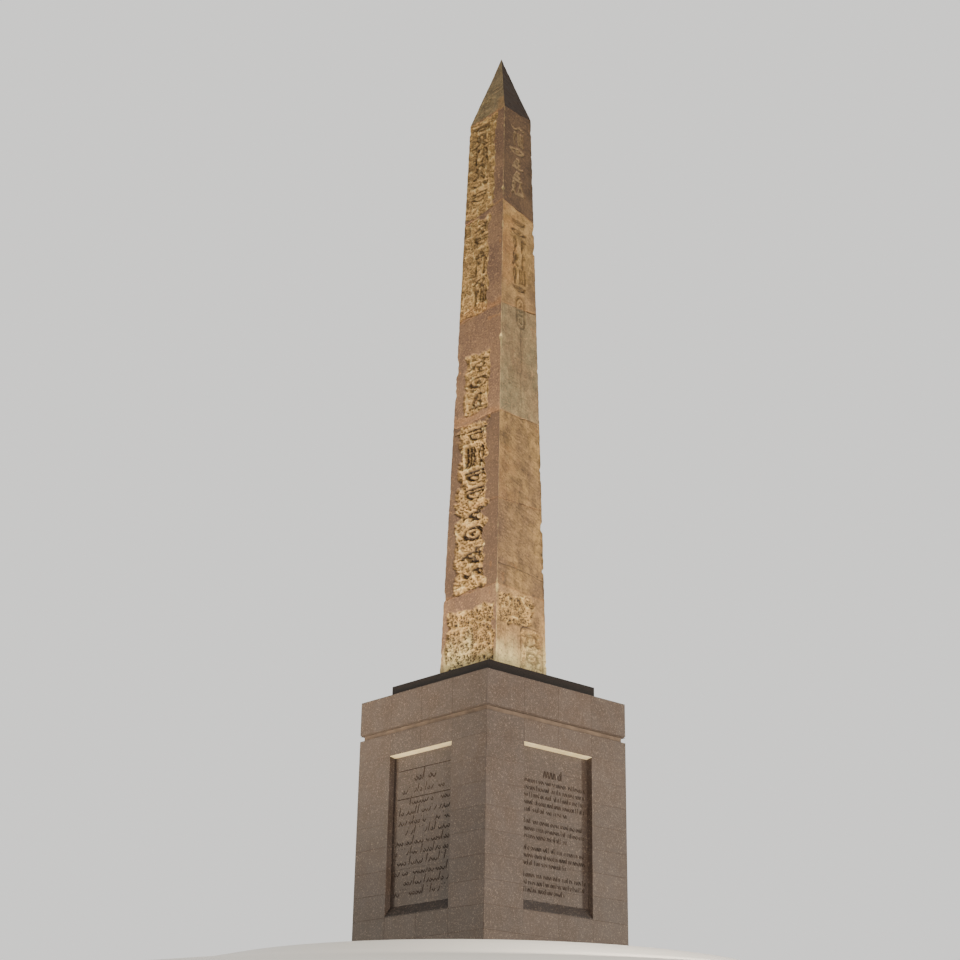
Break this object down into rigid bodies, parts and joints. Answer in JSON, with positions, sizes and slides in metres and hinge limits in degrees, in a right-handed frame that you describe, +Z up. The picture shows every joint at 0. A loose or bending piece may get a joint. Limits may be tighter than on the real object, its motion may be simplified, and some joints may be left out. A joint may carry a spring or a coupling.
{
  "type": "obelisk",
  "caption": "Tall tapering granite obelisk of stacked carved blocks with a pointed top, on a dark square slab and a clad square pedestal with a recessed inscription panel in each face.",
  "frame": {"origin": "on the ground at the centre of the pedestal's underside", "axes": "+Z up along the obelisk, -Y is the front face, +X the right-hand face"},
  "size_m": [4.2, 4.2, 23.238],
  "materials": {
    "rose_granite": "weathered, dressed and carved",
    "grey_granite": "honed slabs with fine dark joints",
    "pale_granite": "honed",
    "black_granite": "polished",
    "dark_joint": "rough, shadowed",
    "concrete": "cast, hidden"
  },
  "bodies": {
    "root": {"concrete_core": "concrete", "core_cap": "concrete", "base_band_front": "grey_granite", "base_band_right": "grey_granite", "base_band_back": "grey_granite", "base_band_left": "grey_granite", "corner_pier_front_right": "grey_granite", "corner_pier_back_right": "grey_granite", "corner_pier_back_left": "grey_granite", "corner_pier_front_left": "grey_granite", "sill_front": "grey_granite", "sill_right": "grey_granite", "sill_back": "grey_granite", "sill_left": "grey_granite", "inscribed_panel_front": "grey_granite", "inscribed_panel_right": "grey_granite", "inscribed_panel_back": "grey_granite", "inscribed_panel_left": "grey_granite", "soffit_front": "pale_granite", "soffit_right": "pale_granite", "soffit_back": "pale_granite", "soffit_left": "pale_granite", "head_band_front": "grey_granite", "head_band_right": "grey_granite", "head_band_back": "grey_granite", "head_band_left": "grey_granite", "shadow_gap_course": "dark_joint", "cornice_front": "grey_granite", "cornice_right": "grey_granite", "cornice_back": "grey_granite", "cornice_left": "grey_granite", "pedestal_deck": "grey_granite", "base_slab": "black_granite", "foot_block": "rose_granite", "shaft_block_2": "rose_granite", "shaft_block_3": "rose_granite", "shaft_block_4": "rose_granite", "shaft_block_5": "rose_granite", "neck_block": "rose_granite", "pyramidion": "rose_granite"}
  },
  "joints": []
}
